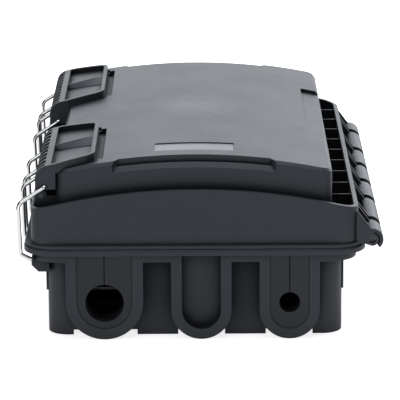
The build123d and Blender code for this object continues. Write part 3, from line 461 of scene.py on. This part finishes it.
def plain_copy(node: str) -> bpy.types.Object:
    """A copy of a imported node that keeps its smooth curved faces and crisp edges.

    Args:
        node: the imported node's name.

    Returns:
        The new object, not yet riding on a body.
    """
    source = bpy.data.objects[node]
    mesh = source.data.copy()
    mesh.name = "dressed_" + node
    mesh.materials.clear()
    copy = bpy.data.objects.new("dressed_" + node, mesh)
    bpy.context.scene.collection.objects.link(copy)
    return copy


class DetailTree:
    """A Geometry Nodes tree that adds repeated details, with its named inputs."""

    sharp_angle: float = math.radians(35)

    def __init__(self, name: str) -> None:
        """Starts the tree with a way in and a way out."""
        self.tree = bpy.data.node_groups.new(name, "GeometryNodeTree")
        for way in ("INPUT", "OUTPUT"):
            self.tree.interface.new_socket("Geometry", in_out=way, socket_type="NodeSocketGeometry")
        self.entry = self.tree.nodes.new("NodeGroupInput")
        self.exit = self.tree.nodes.new("NodeGroupOutput")
        self.values: dict[str, object] = {}

    def ask(self, name: str, kind: str, value: object) -> bpy.types.NodeSocket:
        """Adds a named input with the value that it will be given.

        Args:
            name: what the input is called.
            kind: type of its socket, such as Float.
            value: what the modifier sets it to.

        Returns:
            The output of the way in that carries it.
        """
        socket = self.tree.interface.new_socket(name, in_out="INPUT", socket_type="NodeSocket" + kind)
        self.values[socket.identifier] = value
        return next(o for o in self.entry.outputs if o.identifier == socket.identifier)

    def node(self, kind: str, settings: Optional[dict] = None,
             inputs: Optional[dict] = None) -> bpy.types.NodeSocket:
        """Adds one node and returns its first output.

        Args:
            kind: the node's type.
            settings: its properties.
            inputs: constants, outputs or lists of outputs by the socket's name or number.

        Returns:
            The node's first output.
        """
        made = self.tree.nodes.new(kind)
        for key, value in (settings or {}).items():
            setattr(made, key, value)
        for key, value in (inputs or {}).items():
            for one in value if isinstance(value, list) else [value]:
                if isinstance(one, bpy.types.NodeSocket):
                    self.tree.links.new(one, made.inputs[key])
                else:
                    made.inputs[key].default_value = one
        return made.outputs[0]

    def finish(self, geometry: bpy.types.NodeSocket, material: bpy.types.Material) -> None:
        """Makes the details real, gives them their material and leads them out."""
        real = self.node("GeometryNodeRealizeInstances", {}, {0: geometry})
        painted = self.node("GeometryNodeSetMaterial", {}, {"Geometry": real, "Material": material})
        self.tree.links.new(painted, self.exit.inputs[0])

    def bake(self, piece: bpy.types.Object) -> None:
        """Runs the tree on a piece and leaves it as a plain mesh, smooth over shallow edges."""
        modifier = piece.modifiers.new("details", "NODES")
        modifier.node_group = self.tree
        for identifier, value in self.values.items():
            modifier[identifier] = value
        bpy.context.view_layer.update()
        shaped = piece.evaluated_get(bpy.context.evaluated_depsgraph_get())
        mesh = bpy.data.meshes.new_from_object(shaped)
        piece.modifiers.clear()
        piece.data = mesh
        mesh.shade_smooth()
        mesh.set_sharp_from_angle(angle=self.sharp_angle)


@dataclass
class CrossRecess:
    """Cross-shaped driver recesses in the heads of screws that stand in a grid."""

    centre: Point
    spacing: tuple[float, float]
    counts: tuple[int, int]
    width: float = 0.9 * MM
    reach: float = 3.8 * MM
    depth: float = 1.3 * MM
    weld: float = 0.002 * MM

    def cut(self, piece: bpy.types.Object, material: bpy.types.Material) -> None:
        """Cuts a recess into every head of the piece."""
        tree = DetailTree("cross_recess")
        width = tree.ask("Blade width", "Float", self.width)
        reach = tree.ask("Blade reach", "Float", self.reach)
        depth = tree.ask("Depth", "Float", self.depth)
        grid = tree.node("GeometryNodeMeshGrid", {}, {"Size X": self.spacing[0], "Size Y": self.spacing[1],
                                                      "Vertices X": self.counts[0],
                                                      "Vertices Y": self.counts[1]})
        spots = tree.node("GeometryNodeTransform", {}, {"Geometry": grid, "Translation": self.centre})
        blades = []
        for first, second in ((width, reach), (reach, width)):
            size = tree.node("ShaderNodeCombineXYZ", {}, {"X": first, "Y": second, "Z": depth})
            blade = tree.node("GeometryNodeMeshCube", {}, {"Size": size})
            blades.append(tree.node("GeometryNodeInstanceOnPoints", {}, {"Points": spots, "Instance": blade}))
        solid = tree.node("GeometryNodeMergeByDistance", {}, {"Geometry": tree.entry.outputs[0],
                                                              "Distance": self.weld})
        crosses = [tree.node("GeometryNodeRealizeInstances", {}, {0: blade}) for blade in blades]
        cut = tree.node("GeometryNodeMeshBoolean", {"operation": "DIFFERENCE"}, {"Mesh 1": solid,
                                                                                 "Mesh 2": crosses})
        tree.finish(cut, material)
        tree.bake(piece)


@dataclass
class Row:
    """Equal small bars in a row, or rods with a round section."""

    name: str
    centre: Point
    step: Point
    count: int
    size: Point
    turned: Point = (0.0, 0.0, 0.0)
    is_round: bool = False
    rod_sides: int = 16

    def build(self, material: bpy.types.Material) -> bpy.types.Object:
        """Makes the row as one piece.

        Args:
            material: the material of every bar.

        Returns:
            The piece, not yet riding on a body.
        """
        piece = bpy.data.objects.new(self.name, bpy.data.meshes.new(self.name))
        bpy.context.scene.collection.objects.link(piece)
        tree = DetailTree(self.name)
        count = tree.ask("Count", "Int", self.count)
        start = tuple(c - s * (self.count - 1) / 2 for c, s in zip(self.centre, self.step))
        line = tree.node("GeometryNodeMeshLine", {}, {"Count": count, "Start Location": start,
                                                      "Offset": self.step})
        if self.is_round:
            shape = tree.node("GeometryNodeMeshCylinder", {}, {"Vertices": self.rod_sides,
                                                               "Radius": self.size[0] / 2,
                                                               "Depth": self.size[2]})
        else:
            shape = tree.node("GeometryNodeMeshCube", {}, {"Size": self.size})
        row = tree.node("GeometryNodeInstanceOnPoints", {}, {"Points": line, "Instance": shape,
                                                             "Rotation": self.turned})
        tree.finish(row, material)
        tree.bake(piece)
        return piece


def settle(piece: bpy.types.Object, node: str, material: bpy.types.Material) -> None:
    """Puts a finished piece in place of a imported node, on its body and with its material slot.

    Args:
        piece: the finished object.
        node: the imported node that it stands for.
        material: its material, if it has none yet.
    """
    if not piece.data.materials:
        piece.data.materials.append(material)
    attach(piece, bpy.data.objects[node]["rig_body"])
    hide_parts(node)
    log.info("%s stands for %s, %d faces", piece.name, node, len(piece.data.polygons))


@dataclass
class Shells:
    """Base and lid, the two large mouldings, with the cable port inserts and the gasket."""

    finishes: Finishes
    rubber_nodes: tuple[str, ...] = ("large_port_grommet", "small_port_grommet", "sealing_gasket")

    def dress(self) -> None:
        """Dresses each moulding from a smooth copy of its node."""
        settle(plain_copy("base_shell"), "base_shell", self.finishes.base)
        settle(plain_copy("lid"), "lid", self.finishes.lid)
        for node in self.rubber_nodes:
            settle(plain_copy(node), node, self.finishes.rubber)


@dataclass
class Latches:
    """Two levers with their pivot pins and wire bails."""

    finishes: Finishes
    places: tuple[str, ...] = ("front", "rear")
    ends: tuple[str, ...] = ("near", "far")

    def dress(self) -> None:
        """Dresses the levers, pins and wires."""
        for place in self.places:
            lever = f"{place}_latch_lever"
            settle(plain_copy(lever), lever, self.finishes.lever)
            pin = f"{place}_lever_pin"
            settle(plain_copy(pin), pin, self.finishes.pin)
            for end in self.ends:
                bail = f"{place}_latch_{end}_bail"
                settle(plain_copy(bail), bail, self.finishes.wire)


@dataclass
class Fittings:
    """What the box holds inside, and its hinge pin."""

    finishes: Finishes
    head_radius: float = 3.2 * MM
    sleeve_count: int = 12
    sleeve_pitch: float = 3.4 * MM
    rod_size: Point = (1.0 * MM, 1.0 * MM, 31.0 * MM)
    adapter_count: int = 8
    adapter_pitch: float = 14.0 * MM
    clip_size: Point = (7.0 * MM, 3.6 * MM, 0.4 * MM)
    clip_shift: float = 4.5 * MM
    clip_sink: float = 0.5 * MM

    def __post_init__(self) -> None:
        """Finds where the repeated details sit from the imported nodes."""
        self.recesses: dict[str, CrossRecess] = {}
        for node, counts in (("plate_screws", (2, 2)), ("large_clamp_screws", (2, 1)),
                             ("small_clamp_screws", (2, 1))):
            low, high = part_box(node)
            spacing = tuple(max(high[k] - low[k] - 2 * self.head_radius, 0.0) for k in range(2))
            centre = ((low[0] + high[0]) / 2, (low[1] + high[1]) / 2, high[2])
            self.recesses[node] = CrossRecess(centre, spacing, counts)
        low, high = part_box("splice_sleeves")
        middle = tuple((a + b) / 2 for a, b in zip(low, high))
        rods = Row("sleeve_rods", middle, (self.sleeve_pitch, 0.0, 0.0), self.sleeve_count, self.rod_size,
                   turned=(math.pi / 2, 0.0, 0.0), is_round=True)
        low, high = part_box("fibre_adapters")
        spot = ((low[0] + high[0]) / 2 + self.clip_shift, (low[1] + high[1]) / 2, high[2] - self.clip_sink)
        clips = Row("adapter_clips", spot, (0.0, self.adapter_pitch, 0.0), self.adapter_count,
                    self.clip_size)
        self.rows = (rods, clips)

    def dress(self) -> None:
        """Dresses each inner fitting."""
        kinds = {
            "hinge_pin": (self.finishes.pin, "pin"),
            "mounting_plate": (self.finishes.sheet, "plate"),
            "adapter_bracket": (self.finishes.sheet, "plate"),
            "plate_screws": (self.finishes.zinc, "screw"),
            "large_clamp_screws": (self.finishes.zinc, "screw"),
            "small_clamp_screws": (self.finishes.zinc, "screw"),
            "splice_tray": (self.finishes.tray, "tray"),
            "splice_holder": (self.finishes.tray, "tray"),
            "splice_sleeves": (self.finishes.sleeve, "sleeve"),
            "tray_cover": (self.finishes.smoke, "cover"),
            "splitter_module": (self.finishes.sheet, "splitter"),
            "fibre_adapters": (self.finishes.adapter, "adapter"),
            "dust_caps": (self.finishes.cap, "cap"),
            "large_cable_clamp": (self.finishes.clamp, "clamp"),
            "small_cable_clamp": (self.finishes.clamp, "clamp"),
        }
        for node, (material, slot) in kinds.items():
            piece = plain_copy(node)
            if node in self.recesses:
                self.recesses[node].cut(piece, material)
            settle(piece, node, material)
        for row in self.rows:
            piece = row.build(self.finishes.zinc)
            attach(piece, "base")


class Lamp(NamedTuple):
    """A square softbox that looks at a target."""

    name: str
    place: Point
    target: Point
    size: float
    power: float


class Card(NamedTuple):
    """An upright card that stands along Y."""

    name: str
    centre: Point
    length: float
    height: float


@dataclass
class Studio:
    """Pale floor, soft lamps, dark cards beside the box and the camera of the photograph."""

    camera_place: Point = (6.088 * MM, -1708.407 * MM, 494.573 * MM)
    pitch: float = 14.679
    yaw: float = -0.101
    roll: float = -0.359
    focal_pixels: float = 2817.8
    frame_pixels: float = 400.0
    sensor_width: float = 36.0
    view_range: tuple[float, float] = (0.01, 50.0)
    floor_size: float = 6.0
    floor_colour: Colour = (0.93, 0.93, 0.93)
    floor_glow: float = 0.8
    floor_fill: float = 0.26
    world_strength: float = 0.22
    lamp_tint: Colour = (0.93, 0.96, 1.0)
    lamps: tuple[Lamp, ...] = (
        Lamp("back_softbox", (0.2, 2.4, 0.95), (0.0, 0.0, 0.1), 2.6, 36.0),
        Lamp("top_softbox", (0.1, 0.1, 2.0), (0.0, 0.0, 0.1), 1.6, 20.0),
        Lamp("left_softbox", (-1.5, -1.9, 1.3), (0.0, 0.0, 0.05), 1.0, 6.0),
        Lamp("right_softbox", (1.1, 1.3, 1.0), (0.1, 0.0, 0.05), 0.9, 12.0),
    )
    card_colour: Colour = (0.02, 0.02, 0.02)
    cards: tuple[Card, ...] = (
        Card("left_flag", (-0.42, -0.1, 0.16), 0.5, 0.32),
        Card("right_flag", (0.42, -0.1, 0.16), 0.5, 0.32),
    )

    def camera(self) -> None:
        """Places the camera where the photograph was taken from."""
        down, turn, tilt = (math.radians(a) for a in (self.pitch, self.yaw, self.roll))
        forward = Vector((math.sin(turn) * math.cos(down), math.cos(turn) * math.cos(down), -math.sin(down)))
        right = Vector((math.cos(turn), -math.sin(turn), 0.0))
        up = right.cross(forward)
        right_rolled = math.cos(tilt) * right + math.sin(tilt) * up
        up_rolled = -math.sin(tilt) * right + math.cos(tilt) * up
        data = bpy.data.cameras.new("photo_camera")
        data.sensor_width = self.sensor_width
        data.lens = self.focal_pixels / self.frame_pixels * self.sensor_width
        data.clip_start, data.clip_end = self.view_range
        camera = bpy.data.objects.new("photo_camera", data)
        turned = Matrix((right_rolled, up_rolled, -forward)).transposed()
        camera.matrix_world = Matrix.Translation(self.camera_place) @ turned.to_4x4()
        bpy.context.scene.collection.objects.link(camera)
        bpy.context.scene.camera = camera

    @staticmethod
    def sheet(name: str, corners: list[Point], material: bpy.types.Material, seen: bool = True) -> None:
        """Adds a flat four-cornered piece to the stage.

        Args:
            name: the piece's name.
            corners: its corners in turn.
            material: its material.
            seen: whether the camera sees it and it casts shadows.
        """
        mesh = bpy.data.meshes.new(name)
        mesh.from_pydata(corners, [], [(0, 1, 2, 3)])
        mesh.materials.append(material)
        piece = bpy.data.objects.new(name, mesh)
        piece.visible_camera = seen
        piece.visible_shadow = seen
        bpy.context.scene.collection.objects.link(piece)

    def floor(self) -> None:
        """Lays a pale floor that the camera sees as white and that keeps the shadow."""
        recipe = Recipe("pale_floor")
        is_seen = recipe.node("ShaderNodeLightPath", out="Is Camera Ray")
        glow = recipe.mix(is_seen, (self.floor_fill,) * 3, (self.floor_glow,) * 3)
        recipe.set(Base_Color=self.floor_colour, Roughness=0.9, Emission_Color=glow, Emission_Strength=1.0)
        half = self.floor_size / 2
        corners = [(-half, -half, 0.0), (half, -half, 0.0), (half, half, 0.0), (-half, half, 0.0)]
        self.sheet("floor", corners, recipe.material)

    def flag(self) -> None:
        """Stands dark cards beside the box, out of the picture, that give the wires dark edges."""
        recipe = Recipe("dark_card")
        recipe.set(Base_Color=self.card_colour, Roughness=1.0)
        for name, (x, y, z), length, height in self.cards:
            near, far = y - length / 2, y + length / 2
            low, high = z - height / 2, z + height / 2
            corners = [(x, near, low), (x, far, low), (x, far, high), (x, near, high)]
            self.sheet(name, corners, recipe.material, seen=False)

    def world(self) -> None:
        """Lights the box evenly and shows white to the camera."""
        world = bpy.data.worlds.new("studio")
        bpy.context.scene.world = world
        world.use_nodes = True
        nodes, links = world.node_tree.nodes, world.node_tree.links
        background = next(n for n in nodes if n.type == "BACKGROUND")
        background.inputs["Color"].default_value = (1.0, 1.0, 1.0, 1.0)
        path = nodes.new("ShaderNodeLightPath")
        strength = nodes.new("ShaderNodeMapRange")
        strength.inputs["To Min"].default_value = self.world_strength
        strength.inputs["To Max"].default_value = 1.0
        links.new(path.outputs["Is Camera Ray"], strength.inputs["Value"])
        links.new(strength.outputs["Result"], background.inputs["Strength"])

    def light(self) -> None:
        """Hangs the softboxes."""
        for name, place, target, size, power in self.lamps:
            data = bpy.data.lights.new(name, "AREA")
            data.shape, data.size, data.energy = "SQUARE", size, power
            data.color = self.lamp_tint
            lamp = bpy.data.objects.new(name, data)
            lamp.location = place
            lamp.rotation_euler = (Vector(target) - Vector(place)).to_track_quat("-Z", "Y").to_euler()
            bpy.context.scene.collection.objects.link(lamp)

    def build(self) -> None:
        """Sets up the whole studio."""
        bpy.context.scene.view_settings.view_transform = "Standard"
        self.floor()
        self.flag()
        self.world()
        self.light()
        self.camera()


def main() -> None:
    """Builds the dressed box and its studio."""
    logging.basicConfig(level=logging.INFO, format="%(message)s")
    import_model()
    finishes = Finishes()
    for assembly in (Shells(finishes), Latches(finishes), Fittings(finishes)):
        assembly.dress()
    Studio().build()
    bpy.context.view_layer.update()


if __name__ == "__main__":
    main()
